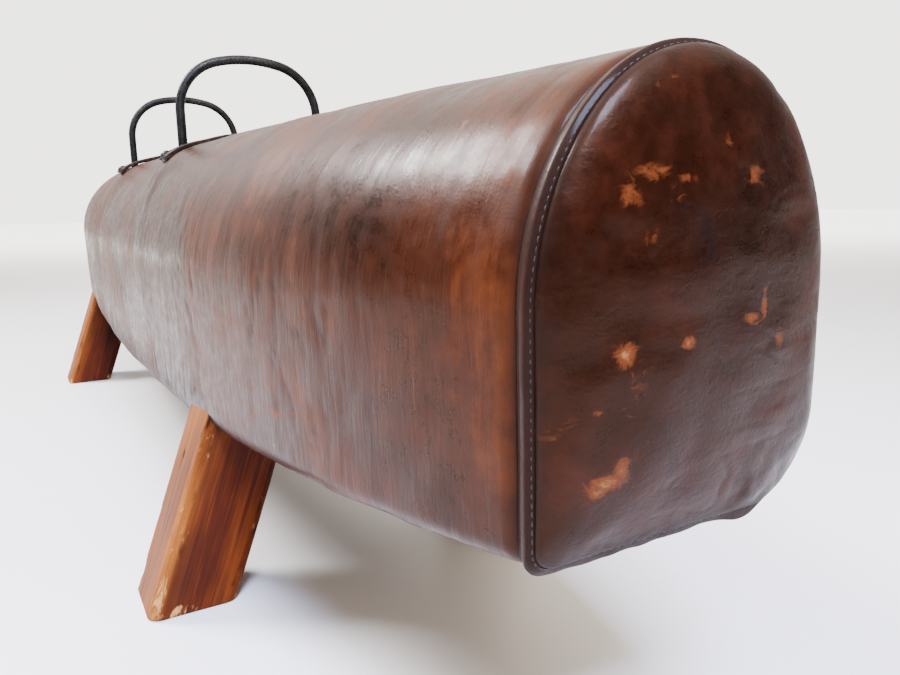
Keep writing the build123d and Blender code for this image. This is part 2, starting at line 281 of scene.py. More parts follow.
def new_material(name):
    material = bpy.data.materials.new(name)
    material.use_nodes = True
    material.node_tree.nodes.clear()
    tree = material.node_tree
    output = tree.nodes.new("ShaderNodeOutputMaterial")
    shader = tree.nodes.new("ShaderNodeBsdfPrincipled")
    tree.links.new(shader.outputs[0], output.inputs[0])
    return material, tree, shader


def pattern(tree, size, detail=3.0, roughness=0.55, distortion=0.0, source=None):
    """Noise whose patches are size metres along X, Y and Z of the piece."""
    where = source or node(tree, "ShaderNodeTexCoord").outputs["Object"]
    scaled = node(tree, "ShaderNodeMapping", {"Scale": [1 / s for s in size]}, Vector=where)
    noise = node(tree, "ShaderNodeTexNoise", {"Scale": 1.0, "Detail": detail, "Roughness": roughness,
                                              "Distortion": distortion}, Vector=scaled.outputs[0])
    return noise.outputs[0]


def ramp(tree, value, stops):
    """Colour ramp; stops are (position, hex colour)."""
    made = node(tree, "ShaderNodeValToRGB", Fac=value)
    for index, (position, colour) in enumerate(stops):
        if index < 2:
            element = made.color_ramp.elements[index]
            element.position = position
        else:
            element = made.color_ramp.elements.new(position)
        element.color = linear(colour)
    return made.outputs[0]


def spread(tree, value, low, high, out_low=0.0, out_high=1.0):
    settings = {"From Min": low, "From Max": high, "To Min": out_low, "To Max": out_high,
                "interpolation_type": "SMOOTHSTEP"}
    return node(tree, "ShaderNodeMapRange", settings, Value=value).outputs[0]


def maths(tree, operation, a, b):
    return node(tree, "ShaderNodeMath", {"operation": operation}, i0=a, i1=b).outputs[0]


def blend(tree, amount, under, over):
    made = node(tree, "ShaderNodeMix", {"data_type": "RGBA", "blend_type": "MIX", "clamp_factor": True})
    for socket, value in ((made.inputs[0], amount), (made.inputs[6], under), (made.inputs[7], over)):
        if isinstance(value, bpy.types.NodeSocket):
            tree.links.new(value, socket)
        else:
            socket.default_value = value
    return made.outputs[2]


def mask(tree, name):
    return node(tree, "ShaderNodeAttribute", {"attribute_name": name}).outputs["Fac"]


def bumped(tree, shader, heights):
    """Chains bumps into the shader; heights are (value, depth in metres, strength)."""
    normal = None
    for value, depth, strength in heights:
        bump = node(tree, "ShaderNodeBump", {"Strength": strength, "Distance": depth}, Height=value)
        if normal is not None:
            tree.links.new(normal, bump.inputs["Normal"])
        normal = bump.outputs[0]
    tree.links.new(normal, shader.inputs["Normal"])


def glazed_cowhide(name, dark, middle, warm, stain, rub, scuff, gloss, streak):
    """Vegetable-tanned cowhide, hand-glazed and polished by a century of hands.

    Tone drifts in patches a hand wide, in cross-length streaks, and in fine mottling. The glaze is worn
    off where the masks say so, leaving dull tan fibre; dark stains sit in patches, and the grime mask
    darkens the creases, the seam edges and the underside, partly grime and partly painted shade.
    """
    material, tree, shader = new_material(name)
    patches = pattern(tree, (0.16, 0.13, 0.13), 4.0, 0.6, 0.6)
    streaks = pattern(tree, streak, 4.0, 0.62, 0.3)
    mottle = pattern(tree, (0.012, 0.012, 0.012), 5.0, 0.68)
    tone = maths(tree, "ADD", maths(tree, "MULTIPLY", patches, 0.50), maths(tree, "MULTIPLY", streaks, 0.26))
    tone = maths(tree, "ADD", tone, maths(tree, "MULTIPLY", mottle, 0.24))
    colour = ramp(tree, tone, [(0.33, dark), (0.69, warm), (0.50, middle)])
    blotches = spread(tree, pattern(tree, (0.045, 0.04, 0.05), 5.0, 0.62, 0.9), 0.56, 0.72)
    stains = maths(tree, "MULTIPLY", blotches, maths(tree, "MULTIPLY", mask(tree, "stain"), 0.75))
    colour = blend(tree, stains, colour, linear(stain))
    # grime and painted shade: where the grime mask is high the hide goes towards near-black
    colour = blend(tree, maths(tree, "MULTIPLY", mask(tree, "grime_and_shade"), 0.85), colour, linear("#160b09"))
    fibre = pattern(tree, (0.0022, 0.0030, 0.0022), 4.0, 0.7)
    ragged = pattern(tree, (0.010, 0.012, 0.008), 5.0, 0.68, 1.1)
    torn = maths(tree, "MULTIPLY", maths(tree, "ADD", ragged, -0.5), 1.3)
    worn = maths(tree, "ADD", mask(tree, "wear"), torn)
    handled = spread(tree, mask(tree, "wear"), 0.02, 0.18)
    rubbed = maths(tree, "MULTIPLY", spread(tree, worn, 0.28, 0.64),
                   spread(tree, fibre, 0.2, 0.65, 0.35, 0.85))
    rubbed = maths(tree, "MULTIPLY", rubbed, handled)
    bare = maths(tree, "MULTIPLY", spread(tree, worn, 0.70, 1.25), spread(tree, fibre, 0.25, 0.6, 0.3, 0.9))
    colour = blend(tree, rubbed, colour, linear(rub))
    colour = blend(tree, bare, colour, linear(scuff))
    tree.links.new(colour, shader.inputs["Base Color"])
    rough = maths(tree, "ADD", spread(tree, mottle, 0.3, 0.7, gloss, gloss + 0.14),
                  maths(tree, "MULTIPLY", rubbed, 0.25))
    rough = maths(tree, "ADD", rough, spread(tree, patches, 0.35, 0.65, -0.04, 0.08))
    rough = maths(tree, "ADD", rough, maths(tree, "MULTIPLY", mask(tree, "grime_and_shade"), 0.35))
    tree.links.new(rough, shader.inputs["Roughness"])
    shader.inputs["IOR"].default_value = 1.5
    shader.inputs["Specular IOR Level"].default_value = 0.12
    shader.inputs["Specular Tint"].default_value = linear("#ffc592")
    shader.inputs["Coat Weight"].default_value = 0.05
    shader.inputs["Coat Roughness"].default_value = 0.14
    where = node(tree, "ShaderNodeTexCoord").outputs["Object"]
    pores = node(tree, "ShaderNodeTexVoronoi", {"Scale": 1 / 0.0017}, Vector=where).outputs[0]
    creases = pattern(tree, tuple(s / 5 for s in streak), 4.0, 0.6, 0.4)
    bumped(tree, shader, [(creases, 0.0006, 0.55), (mottle, 0.0005, 0.2), (pores, 0.00015, 0.3)])
    return material


body_leather = glazed_cowhide(
    "glazed_cowhide", "#150602", "#321306", "#5c2b0f", "#0e0605", "#6c3717", "#8e5e36", 0.26,
    (0.022, 0.16, 0.16))
end_leather = glazed_cowhide(
    "glazed_cowhide_stained", "#0c0302", "#1c0803", "#341207", "#050408", "#5c2c12", "#8a5c34", 0.25,
    (0.05, 0.05, 0.03))
strip_leather = glazed_cowhide(
    "glazed_cowhide_strip", "#0e0402", "#1e0a05", "#321308", "#060404", "#40200f", "#5a351f", 0.34,
    (0.02, 0.02, 0.02))
flap_leather = glazed_cowhide(
    "rough_cut_cowhide", "#1c100c", "#33201a", "#4a2e22", "#100c0c", "#5a3a28", "#6d4a36", 0.62,
    (0.03, 0.03, 0.03))
strap_leather = glazed_cowhide(
    "saddle_strap_cowhide", "#0f0b09", "#1f1712", "#33261d", "#0b0807", "#4a3a2e", "#6a5848", 0.34,
    (0.03, 0.03, 0.03))


def waxed_thread():
    """Waxed linen thread, black with age: dull with a soft shine along each stitch."""
    material, tree, shader = new_material("waxed_linen_thread")
    twist = pattern(tree, (0.0012, 0.0012, 0.0012), 2.0)
    tree.links.new(ramp(tree, twist, [(0.3, "#080504"), (0.7, "#1a100b")]), shader.inputs["Base Color"])
    shader.inputs["Roughness"].default_value = 0.6
    bumped(tree, shader, [(twist, 0.0003, 0.5)])
    return material


def blackened_iron(name, dark, bright, worn, roughness):
    """Wrought iron, blackened in oil and then handled: near-black, a greasy sheen and rubbed high spots."""
    material, tree, shader = new_material(name)
    scale_skin = pattern(tree, (0.010, 0.010, 0.010), 5.0, 0.65)
    pits = pattern(tree, (0.0022, 0.0022, 0.0022), 3.0, 0.6)
    colour = ramp(tree, scale_skin, [(0.35, dark), (0.68, bright)])
    rubbed = maths(tree, "MULTIPLY", mask(tree, "wear"), spread(tree, pits, 0.35, 0.65))
    colour = blend(tree, rubbed, colour, linear(worn))
    tree.links.new(colour, shader.inputs["Base Color"])
    shader.inputs["Metallic"].default_value = 0.8
    rough = spread(tree, scale_skin, 0.3, 0.7, roughness, roughness + 0.18)
    tree.links.new(rough, shader.inputs["Roughness"])
    bumped(tree, shader, [(scale_skin, 0.0006, 0.2), (pits, 0.0002, 0.2)])
    return material


def varnished_beech(name, deep, middle, pale, light, scuff, stain):
    """Beech or ash sawn along the grain, stained orange-brown and varnished long ago.

    The grain runs along Z of the grain mask. The outer faces are painted paler and golden as painted light
    from the window, knocked arrises show pale wood, and dirt with some painted shade darkens the dents.
    """
    material, tree, shader = new_material(name)
    along = node(tree, "ShaderNodeAttribute", {"attribute_name": "grain"}).outputs["Vector"]
    growth = pattern(tree, (0.011, 0.013, 0.30), 3.0, 0.5, 1.4, along)
    lines = pattern(tree, (0.0016, 0.0018, 0.09), 4.0, 0.6, 0.5, along)
    clouds = pattern(tree, (0.05, 0.05, 0.14), 3.0, 0.5, 0.0, along)
    tone = maths(tree, "ADD", maths(tree, "MULTIPLY", growth, 0.30), maths(tree, "MULTIPLY", lines, 0.25))
    tone = maths(tree, "ADD", tone, maths(tree, "MULTIPLY", clouds, 0.45))
    colour = ramp(tree, tone, [(0.36, deep), (0.68, pale), (0.50, middle)])
    fleck = spread(tree, pattern(tree, (0.0009, 0.0011, 0.012), 2.0, 0.5, 0.0, along), 0.66, 0.74, 0.0, 0.35)
    # painted light: the lit outer faces take the paler ramp
    colour = blend(tree, mask(tree, "painted_lit_face"), colour, ramp(tree, tone, [(0.38, pale), (0.64, light)]))
    colour = blend(tree, fleck, colour, linear(deep))
    ragged = pattern(tree, (0.005, 0.005, 0.014), 5.0, 0.7, 0.8, along)
    torn = maths(tree, "MULTIPLY", maths(tree, "ADD", ragged, -0.5), 1.6)
    bare = spread(tree, maths(tree, "ADD", mask(tree, "wear"), torn), 0.45, 0.75, 0.0, 0.85)
    colour = blend(tree, bare, colour, linear(scuff))
    # dirt and painted shade from the grime mask, broken up by noise, go towards the dark stain colour
    dirt_and_shade = maths(tree, "ADD", mask(tree, "grime_and_shade"),
                 maths(tree, "MULTIPLY", maths(tree, "ADD", ragged, -0.5), 0.9))
    colour = blend(tree, spread(tree, dirt_and_shade, 0.30, 0.75, 0.0, 0.9), colour, linear(stain))
    tree.links.new(colour, shader.inputs["Base Color"])
    rough = maths(tree, "ADD", spread(tree, clouds, 0.3, 0.7, 0.50, 0.64), maths(tree, "MULTIPLY", bare, 0.2))
    tree.links.new(rough, shader.inputs["Roughness"])
    shader.inputs["Specular IOR Level"].default_value = 0.07
    bumped(tree, shader, [(lines, 0.0004, 0.4), (ragged, 0.0006, 0.25)])
    return material


def plain_stuff(name, low, high, size, roughness, metallic=0.0):
    """Bare stock of the hidden inside: planed pine, beech blocks, curled hair, felt, dulled steel."""
    material, tree, shader = new_material(name)
    grain = pattern(tree, size, 4.0, 0.6, 0.4)
    tree.links.new(ramp(tree, grain, [(0.32, low), (0.68, high)]), shader.inputs["Base Color"])
    shader.inputs["Roughness"].default_value = roughness
    shader.inputs["Metallic"].default_value = metallic
    bumped(tree, shader, [(grain, 0.0005, 0.3)])
    return material


thread = waxed_thread()
handle_iron = blackened_iron("oil_blackened_iron", "#100f0b", "#25221c", "#3f3a32", 0.46)
screw_iron = blackened_iron("dulled_screw_iron", "#0c0b0a", "#191714", "#36322d", 0.5)
leg_wood = varnished_beech(
    "varnished_beech", "#1e0903", "#3e1507", "#70340f", "#b4702a", "#c08a4c", "#110603")
hidden = {
    "carcass_pine": plain_stuff("planed_pine", "#b58a56", "#d8b47e", (0.25, 0.006, 0.006), 0.6),
    "block_beech": plain_stuff("planed_beech", "#9d7048", "#c39566", (0.01, 0.12, 0.01), 0.6),
    "horsehair": plain_stuff("curled_horsehair", "#1c140f", "#4a382a", (0.002, 0.002, 0.002), 0.9),
    "felt": plain_stuff("pressed_wool_felt", "#8a8272", "#b5ad9b", (0.003, 0.003, 0.003), 0.95),
    "fastener_steel": plain_stuff("dulled_steel", "#55524d", "#8c8880", (0.004, 0.004, 0.004), 0.4, 1.0),
}


# ---- leather of the body ----
def grip_marks(points):
    """Where hands and shoes have worn the crown, by the handles and along the top."""
    high = step(points[:, 2], 0.40, 0.44)
    return 0.25 * high * step(waves(points, (0.09, 0.06, 0.06), 9), 0.1, 0.6)


SIDE_SCUFFS = [           # centre and reach in metres, strength
    ((0.70, -0.135, 0.215), (0.012, 0.02, 0.004), 0.75),
    ((0.73, -0.13, 0.222), (0.006, 0.02, 0.003), 0.7),
    ((0.42, -0.15, 0.27), (0.02, 0.02, 0.004), 0.5),
    ((0.86, -0.08, 0.40), (0.010, 0.01, 0.008), 0.55),
    ((0.52, -0.12, 0.375), (0.016, 0.02, 0.006), 0.5),
    ((-0.30, 0.15, 0.25), (0.03, 0.02, 0.006), 0.6),
    ((0.66, 0.12, 0.36), (0.012, 0.02, 0.020), 0.6),
    ((-0.72, -0.13, 0.30), (0.02, 0.02, 0.010), 0.6),
]


def saddle_swell(points):
    """The padding is pulled down under the middle of each strap and bulges up under its ends."""
    along = np.exp(-((np.abs(points[:, 0]) - HANDLE_X) / 0.055) ** 2)
    flank = np.exp(-((np.abs(points[:, 1]) - 0.098) / 0.030) ** 2) * step(points[:, 2], 0.33, 0.37)
    middle = np.exp(-(points[:, 1] / 0.05) ** 2) * step(points[:, 2], 0.33, 0.37)
    return along * (9 * MM * flank - 2 * MM * middle)


def hide_relief(points, to_seam, seed):
    """How far the leather stands off its plain form, and how deep the creases in it are."""
    bent = points.copy()
    bent[:, 0] += 10 * MM * waves(points, (0.09, 0.05, 0.05), seed + 1)
    lumps = 1.7 * MM * waves(points, (0.24, 0.13, 0.11), seed + 2)
    lumps += 0.8 * MM * waves(points, (0.07, 0.09, 0.09), seed + 3)
    across = waves(bent, (0.017, 0.13, 0.13), seed + 4)
    fine = waves(bent, (0.0075, 0.06, 0.06), seed + 5)
    patch = step(waves(points, (0.16, 0.12, 0.12), seed + 6), -0.35, 0.45)
    creases = np.clip(1 - np.abs(across) / 0.16, 0, 1) ** 2 * (0.25 + 0.75 * patch)
    creases += 0.45 * np.clip(1 - np.abs(fine) / 0.2, 0, 1) ** 2 * patch
    ripples = 0.22 * MM * across + 0.10 * MM * fine
    gather = np.exp(-to_seam / 0.016)
    around = np.column_stack([np.zeros(len(points)), points[:, 1], points[:, 2]])
    pleats = waves(around, (1.0, 0.010, 0.012), seed + 7)
    drawn = -2.8 * MM * np.exp(-to_seam / (1.8 * MM)) - 0.5 * MM * np.exp(-to_seam / 0.012)
    relief = lumps * (1 - 0.7 * gather) + ripples - 0.42 * MM * creases + 0.55 * MM * pleats * gather + drawn
    return relief, creases


def make_body_leather():
    rows = 440
    stations = np.linspace(-COVER_X, COVER_X, rows)
    rings, outward = zip(*(ring(x) for x in stations))
    points = np.array(rings).reshape(-1, 3)
    normals = np.array(outward).reshape(-1, 3)
    to_seam = COVER_X - np.abs(points[:, 0])
    relief, creases = hide_relief(points, to_seam, 1)
    # soft slack folds run down and outwards on both lower flanks near the ends
    slack = step(np.abs(points[:, 0]), 0.60, 0.80) * step(-points[:, 2], -0.33, -0.24)
    slant = points.copy()
    slant[:, 0] = np.abs(points[:, 0]) * 0.75 - points[:, 2] * 0.65
    folds = waves(slant, (0.030, 0.20, 0.20), 21)
    relief += 1.3 * MM * slack * folds
    for end in (1, -1):
        under = np.abs(points[:, 0] - end * HANDLE_X) - STRAP_ALONG / 2
        pressed = step(-under, -0.012, 0.002) * step(points[:, 2], 0.36, 0.40)
        relief -= 1.2 * MM * pressed
    relief += saddle_swell(points)
    points = points + normals * relief[:, None]
    wear = grip_marks(points)
    for centre, reach, strength in SIDE_SCUFFS:
        wear = np.maximum(wear, strength * blob(points, centre, reach))
    # grime and painted shade in the creases and by the seam; painted shade darkens the lower body from z 0.20
    # down
    grime_and_shade = 0.45 * creases + 0.9 * np.exp(-to_seam / 0.004)
    grime_and_shade += 0.6 * step(-points[:, 2], -0.20, -0.14)
    stain = 0.5 * step(waves(points, (0.30, 0.2, 0.2), 8), 0.0, 0.6)
    mesh = capped_tube("body_leather", points.reshape(rows, AROUND, 3))
    piece = ride_and_dress(
        "body_leather", mesh, body_leather, ("body_cover", "hair_padding", "felt_layer"),
        {"wear": wear, "grime_and_shade": grime_and_shade, "stain": stain})


END_SCUFFS = [            # y, z, reach along y, reach along z, strength
    (-0.0600, 0.2320, 0.0110, 0.0050, 1.05),
    (-0.0520, 0.2370, 0.0050, 0.0060, 1.00),
    (-0.0640, 0.2280, 0.0060, 0.0035, 0.95),
    (-0.0523, 0.2906, 0.0070, 0.0060, 0.92),
    (-0.0170, 0.2925, 0.0055, 0.0032, 0.90),
    (0.0280, 0.3000, 0.0080, 0.0035, 0.80),
    (0.0370, 0.3060, 0.0030, 0.0090, 0.70),
    (0.0507, 0.2861, 0.0050, 0.0080, 0.55),
    (-0.0395, 0.3692, 0.0120, 0.0060, 0.62),
    (-0.0505, 0.3589, 0.0070, 0.0060, 0.66),
    (-0.0214, 0.3659, 0.0070, 0.0030, 0.60),
    (0.0244, 0.3672, 0.0080, 0.0080, 0.52),
    (0.0074, 0.3826, 0.0050, 0.0040, 0.52),
    (-0.0410, 0.3406, 0.0060, 0.0060, 0.45),
    (-0.0669, 0.2659, 0.0030, 0.0020, 0.60),
]
END_STAINS = [            # y, z, reach
    (-0.0134, 0.3864, 0.010),
    (-0.0003, 0.3359, 0.012),
    (0.0130, 0.2500, 0.016),
    (-0.0300, 0.3150, 0.010),
]


def bunched_corner(sign):
    """Where the hide of an end is gathered in a knot at one lower corner; X is left out."""
    return 0.0, sign * 0.052, 0.196


def make_end_cover(end):
    """A full cushion over the end: tight at the seam, crowned in the middle, pleated at the corners."""
    sign = END_SIGN[end]
    seed = 40 if end == "near" else 60
    rim, outward = section(SEAM_X)
    middle = np.array([0.0, 0.31])
    spoke = rim - middle
    reach = np.linalg.norm(spoke, axis=1)
    unit = spoke / reach[:, None]
    rounding, shoulder, crown = 24 * MM, 9.5 * MM, 10 * MM
    turn_rows, face_rows = 22, 76
    rings = []
    for row in range(turn_rows + face_rows):
        if row < turn_rows:
            inset = np.full(AROUND, rounding * (1 - cos(pi / 2 * row / turn_rows)))
        else:
            inset = rounding + (reach - rounding) * 0.985 * (row - turn_rows) / (face_rows - 1)
        lean = 1 - np.minimum(inset / rounding, 1)
        loop = middle + unit * (reach - inset)[:, None]
        fullness = 0.45 + 0.55 * step(loop[:, 1], 0.195, 0.245)
        bulge = fullness * shoulder * np.sqrt(1 - lean**2) + crown * (1 - (1 - inset / reach) ** 2)
        rings.append(np.column_stack([sign * (SEAM_X + bulge), loop]))
    points = np.array(rings).reshape(-1, 3)
    inset_all = np.tile(reach, len(rings)) - np.linalg.norm(points[:, 1:] - middle, axis=1)
    face_on = step(inset_all, 0.0, rounding)
    normals = np.column_stack([sign * face_on, np.tile(outward, (len(rings), 1)) * (1 - face_on)[:, None]])
    normals /= np.linalg.norm(normals, axis=1)[:, None]
    lumps = 1.5 * MM * waves(points, (0.1, 0.07, 0.05), seed)
    lumps = lumps + 0.7 * MM * waves(points, (0.1, 0.03, 0.022), seed + 1)
    bent = points.copy()
    bent[:, 2] += 8 * MM * waves(points, (0.05, 0.05, 0.05), seed + 2)
    lines = waves(bent, (0.08, 0.06, 0.012), seed + 3)
    patch = step(waves(points, (0.1, 0.06, 0.05), seed + 4), -0.1, 0.5)
    creases = np.clip(1 - np.abs(lines) / 0.13, 0, 1) ** 2 * patch
    at_rim = np.exp(-inset_all / 0.012)
    pleats = waves(points * (0, 1, 1), (1.0, 0.010, 0.012), seed + 5)
    relief = lumps * face_on + 0.15 * MM * lines * face_on - 0.35 * MM * creases
    relief += 0.6 * MM * pleats * at_rim * step(inset_all, 0, 0.004)
    relief -= 2.4 * MM * np.exp(-inset_all / (2.5 * MM))
    # the hide bunches where it turns under at the lower corners, one corner more than the other
    knot = np.array(bunched_corner(sign)) + (sign * (SEAM_X + 0.006), 0, 0.006)
    for corner, size in ((knot, 1.0), (knot * (1, -1.5, 1), 0.4)):
        bunch = blob(points, corner, (0.03, 0.024, 0.016))
        relief += size * bunch * (1.2 * MM + 1.3 * MM * waves(points, (0.03, 0.010, 0.014), seed + 6))
    points = points + normals * relief[:, None]
    wear = 0.30 * step(waves(points, (0.1, 0.03, 0.03), seed + 7), 0.25, 0.7)
    for y, z, reach_y, reach_z, strength in END_SCUFFS:
        centre = (sign * (SEAM_X + 0.02), sign * y, z)
        wear = np.maximum(wear, strength * blob(points, centre, (0.05, reach_y, reach_z)))
    stain = 0.25 + 0.5 * step(waves(points, (0.1, 0.06, 0.06), seed + 8), -0.2, 0.5)
    for y, z, reach_stain in END_STAINS:
        centre = (sign * (SEAM_X + 0.02), sign * y, z)
        stain += 1.2 * blob(points, centre, (0.05, reach_stain, reach_stain))
    # grime and painted shade in the creases and along the rim at the seam, and painted shade along the bottom
    # where the hide turns under
    grime_and_shade = 0.35 * creases + 0.85 * np.exp(-inset_all / 0.004) + 0.7 * step(-points[:, 2], -0.205, -0.185)
    mesh = capped_tube(f"{end}_end_leather", points.reshape(-1, AROUND, 3))
    piece = ride_and_dress(
        f"{end}_end_leather", mesh, end_leather, (f"{end}_end_cover", f"{end}_end_pad"),
        {"wear": wear, "grime_and_shade": grime_and_shade, "stain": stain})


# ---- seams ----
STRIP_PROFILE = [         # across the strip as a share of its half width, and height off the leather in mm
    (-1.20, -4.0), (-1.14, -2.4), (-1.0, -2.1), (-0.88, -1.1), (-0.72, -0.5), (-0.36, -0.2), (0.0, 0.1),
    (0.36, 0.2), (0.70, 0.0), (0.87, -0.7), (1.0, -1.9), (1.14, -2.3), (1.20, -4.0),
]


def make_seam(end):
    """The strip that joins the body to the end, and the two rows of stitches sunk along its edges."""
    sign = END_SIGN[end]
    seed = 80 if end == "near" else 90
    count = 640
    loop, outward = section(SEAM_X - STRIP_WIDTH / 2, count)
    middle_x = SEAM_X - STRIP_WIDTH / 2
    at_loop = np.column_stack([np.zeros(count), loop])
    wander = 0.5 * MM * waves(at_loop, (1.0, 0.06, 0.06), seed)
    swell = 0.22 * MM * waves(at_loop, (1.0, 0.012, 0.012), seed + 1)
    swell = swell + 0.35 * MM * waves(at_loop, (1.0, 0.05, 0.05), seed + 2)
    under = step(-loop[:, 1], -0.200, -0.188)
    swell = swell + under * (2.6 + 0.9 * waves(at_loop, (1.0, 0.014, 0.014), seed + 3)) * MM
    swell = swell + 4.5 * MM * blob(at_loop, bunched_corner(sign), (1.0, 0.013, 0.013))
    rings, wear, grime_and_shade = [], [], []
    for across, height in STRIP_PROFILE:
        x = sign * (middle_x + across * STRIP_WIDTH / 2) + sign * wander
        lift = height * MM + (swell if height > 0 else 0)
        points = np.column_stack([x, loop + outward * np.broadcast_to(lift, count)[:, None]])
        rings.append(points)
        wear.append(np.full(count, 0.12 if abs(across) < 0.5 else 0.0) * (1 - under))
        # the sunk edges of the strip and its underside are darkened: grime and painted shade in the grooves,
        # painted shade underneath
        grime_and_shade.append(np.full(count, 0.0 if height > 0 else 0.95) + 0.7 * under)
    rings = np.array(rings)
    mesh = mesh_of(f"{end}_seam_strip_leather", np.swapaxes(rings, 0, 1).reshape(-1, 3),
                   grid_faces(count, len(STRIP_PROFILE), rows_close=True))
    spread_masks = {"wear": np.array(wear).T.ravel(), "grime_and_shade": np.array(grime_and_shade).T.ravel(),
                    "stain": np.full(count * len(STRIP_PROFILE), 0.6)}
    ride_and_dress(f"{end}_seam_strip_leather", mesh, strip_leather, (f"{end}_seam_strip",),
                   spread_masks)
    stitches = []
    pitch, length, girth = 4.4 * MM, 3.7 * MM, 0.38 * MM
    dense, dense_out = section(middle_x, 2400)
    run = np.concatenate([[0], np.cumsum(np.linalg.norm(np.diff(dense, axis=0), axis=1))])
    for row in (-1, 1):
        x = sign * (middle_x + row * STRIP_WIDTH * 0.53)
        for number in range(int(run[-1] / pitch)):
            start = number * pitch + rng.uniform(0, 0.6) * MM
            part = []
            for t in np.linspace(0, 1, 7):
                at = np.interp(start + t * length, run, np.arange(len(run)))
                index = int(at) % len(dense)
                arch = sin(pi * t)
                centre = dense[index] + dense_out[index] * (-2.6 + 0.5 * arch) * MM
                width = girth * (0.35 + 0.65 * arch)
                for turn in np.arange(6) * pi / 3:
                    flat = centre + dense_out[index] * width * sin(turn)
                    part.append((x + width * cos(turn), *flat))
            faces = grid_faces(7, 6)
            faces += [[5, 4, 3, 2, 1, 0], [36, 37, 38, 39, 40, 41]]
            stitches.append((np.array(part), faces))
    mesh = joined(f"{end}_seam_stitches", stitches)
    ride_and_dress(f"{end}_seam_stitches", mesh, thread)


# ---- handles, their straps and screws ----
def handle_path():
    """Points along a handle in its own plane, (y, z), from one hidden foot over the grip to the other."""
    half, bend = HANDLE_HALF_SPAN, HANDLE_SHOULDER
    grip = bend + (half - bend) / sin(GRIP_TURN)
    spring = GRIP_HEIGHT - grip + (grip - bend) * cos(GRIP_TURN)
    foot = [(half, z) for z in np.linspace(0.36, spring, 40)[:-1]]
    shoulder = [(half - bend + bend * cos(a), spring + bend * sin(a))
                for a in np.linspace(0, pi / 2 - GRIP_TURN, 40)[:-1]]
    top = [(grip * sin(a), GRIP_HEIGHT - grip + grip * cos(a)) for a in np.linspace(GRIP_TURN, 0, 20)]
    right = np.array(foot + shoulder + top)
    return np.vstack([right, right[::-1][1:] * (-1, 1)])


def make_handle(end):
    sign = END_SIGN[end]
    path = handle_path()
    seed = 101 if end == "near" else 111
    along = np.gradient(path, axis=0)
    along /= np.linalg.norm(along, axis=1)[:, None]
    normal = np.column_stack([along[:, 1], -along[:, 0]])
    at = np.column_stack([np.full(len(path), sign * HANDLE_X), path])
    sway = 0.6 * MM * waves(at, (1, 0.05, 0.05), seed)
    radius = HANDLE_ROD / 2 + 0.12 * MM * waves(at, (1, 0.02, 0.02), seed + 1)
    rings = []
    for turn in np.linspace(0, 2 * pi, 28, endpoint=False):
        offset = normal * (radius * sin(turn))[:, None]
        rings.append(np.column_stack([at[:, 0] + sway + radius * cos(turn), path + offset]))
    rings = np.swapaxes(np.array(rings), 0, 1)
    points = rings.reshape(-1, 3)
    held = step(points[:, 2], 0.50, 0.535)
    wear = 0.7 * held * step(waves(points, (0.02, 0.03, 0.02), seed + 2), -0.2, 0.5)
    mesh = capped_tube(f"{end}_handle_rod", rings)
    ride_and_dress(f"{end}_handle_rod", mesh, handle_iron, (f"{end}_handle",), {"wear": wear})


def crown_point(x, y, lift):
    """Point and outward direction on the crown at x and y, lifted off the leather as it swells there."""
    half, top = half_width(x), crest(x)
    rise = CROWN_SHARE * (top - underside(x))
    spring = top - rise
    z = spring + rise * (1 - (y / half) ** 2) ** 0.5
    outward = np.array([0.0, y / half**2, (z - spring) / rise**2])
    outward /= np.linalg.norm(outward)
    swell = saddle_swell(np.array([[x, y, z]]))[0]
    return np.array([x, y, z]) + outward * (lift + swell), outward


def make_strap(end):
    """The strap across the crown that both feet of a handle stand in, bedded into the hide."""
    sign = END_SIGN[end]
    x = sign * HANDLE_X
    seed = 121 if end == "near" else 131
    half_along, corner = STRAP_ALONG / 2, 9 * MM
    ends = STRAP_HALF_SPAN - 3 * MM
    rings, wear, grime_and_shade = [], [], []
    reach = np.concatenate([
        np.linspace(-ends, -ends + corner, 12)[:-1], np.linspace(-ends + corner, ends - corner, 90),
        np.linspace(ends - corner, ends, 12)[1:]])
    for y in reach:
        past = max(abs(y) - (ends - corner), 0) / corner
        half = half_along - corner * (1 - max(1 - past**2, 0.0) ** 0.5) * 0.95
        base, outward = crown_point(x, y, -1.5 * MM)
        loop = rounded_loop(half, (STRAP_THICKNESS + 1.2 * MM) / 2, 1.7 * MM, 48)
        lift = loop[:, 1] + (STRAP_THICKNESS + 1.2 * MM) / 2
        points = base + np.outer(loop[:, 0], (1, 0, 0)) + np.outer(lift, outward)
        rings.append(points)
        edge = np.abs(loop[:, 0]) / half
        wear.append(0.35 * step(edge, 0.8, 1.0) + 0.15 * step(lift, 0.004, 0.006))
        # grime and painted shade round each handle foot and along the strap's underside against the hide
        foot_gap = abs(abs(y) - HANDLE_HALF_SPAN)
        near_foot = np.exp(-(foot_gap**2 + loop[:, 0] ** 2) / 0.00009)
        grime_and_shade.append(0.8 * near_foot + 0.5 * step(-lift, -0.002, -0.001))
    rings = np.array(rings)
    points = rings.reshape(-1, 3)
    ripple = 0.35 * MM * waves(points, (0.02, 0.02, 0.02), seed)
    points = points + np.column_stack([np.zeros(len(points)), np.zeros(len(points)), ripple])
    mesh = capped_tube(f"{end}_strap_leather", points.reshape(rings.shape))
    ride_and_dress(f"{end}_strap_leather", mesh, strap_leather, (f"{end}_saddle_strap",),
                   {"wear": np.concatenate(wear), "grime_and_shade": np.concatenate(grime_and_shade),
                    "stain": np.full(len(points), 0.2)})


